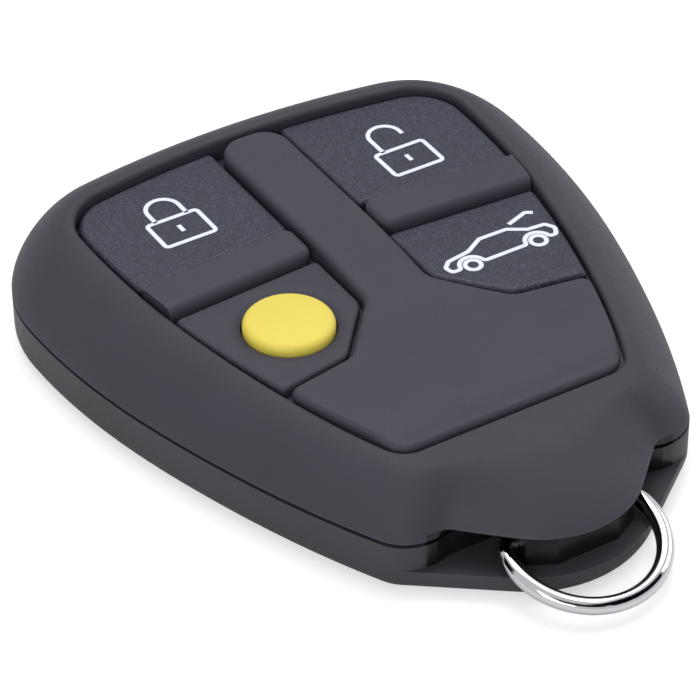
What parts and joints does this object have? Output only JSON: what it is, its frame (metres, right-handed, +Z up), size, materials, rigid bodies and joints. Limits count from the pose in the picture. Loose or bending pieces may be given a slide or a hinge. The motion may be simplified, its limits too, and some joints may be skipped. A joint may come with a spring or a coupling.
{
  "type": "car key fob",
  "caption": "Shield-shaped remote car key fob with press buttons in a framed keypad, a snap-fit two-part housing and a hinged wire key ring at its narrow end.",
  "frame": {"origin": "middle of the bounding box on the plane of the flat rear face, with the key ring at rest", "axes": "+Z up out of the keypad, +Y towards the wide end, so the key ring points to -Y; +X to the right seen from above with the key ring towards the viewer"},
  "size_m": [0.0528, 0.0688, 0.0115],
  "materials": {
    "shell": "soft matt charcoal",
    "rear_shell": "soft matt charcoal",
    "gasket": "matt black",
    "frame": "soft matt charcoal",
    "trim": "soft matt charcoal",
    "mat": "matt black",
    "board": "green solder mask",
    "steel": "satin",
    "chip": "matt black",
    "passives": "matt",
    "copper": "bare copper",
    "cell": "satin",
    "chrome": "bright polished",
    "button": "fine sparkle",
    "light_button": "matt yellow",
    "switch_body": "matt black",
    "switch_pin": "matt white"
  },
  "bodies": {
    "housing": {"front_cover": "shell", "rear_cover": "rear_shell", "sealing_gasket": "gasket", "keypad_frame": "frame", "centre_trim": "trim", "keypad_mat": "mat", "circuit_board": "board", "lock_switch": "switch_body", "unlock_switch": "switch_body", "light_switch": "switch_body", "boot_switch": "switch_body", "switch_covers": "steel", "microcontroller": "chip", "radio_chip": "chip", "crystal_can": "steel", "board_passives": "passives", "antenna_loop": "copper", "coin_cell": "cell", "battery_clip": "steel", "battery_contact": "steel"},
    "lock": {"lock_button": "button", "lock_actuator": "switch_pin"},
    "unlock": {"unlock_button": "button", "unlock_actuator": "switch_pin"},
    "light": {"light_button": "light_button", "light_actuator": "switch_pin"},
    "boot": {"boot_button": "button", "boot_actuator": "switch_pin"},
    "ring": {"key_ring": "chrome"}
  },
  "joints": [
    {"name": "lock_press", "type": "slide", "parent": "housing", "child": "lock", "axis": [0, 0, -1], "range_m": [0, 0.0003], "stiffness_N_per_m": 3000, "deforming": ["keypad_mat"]},
    {"name": "unlock_press", "type": "slide", "parent": "housing", "child": "unlock", "axis": [0, 0, -1], "range_m": [0, 0.0003], "stiffness_N_per_m": 3000, "deforming": ["keypad_mat"]},
    {"name": "light_press", "type": "slide", "parent": "housing", "child": "light", "axis": [0, 0, -1], "range_m": [0, 0.0003], "stiffness_N_per_m": 3000, "deforming": ["keypad_mat"]},
    {"name": "boot_press", "type": "slide", "parent": "housing", "child": "boot", "axis": [0, 0, -1], "range_m": [0, 0.0003], "stiffness_N_per_m": 3000, "deforming": ["keypad_mat"]},
    {"name": "ring_swing", "type": "hinge", "parent": "housing", "child": "ring", "pos_m": [0, -0.02498, 0.00375], "axis": [-1, 0, 0], "range_deg": [0, 40]}
  ]
}
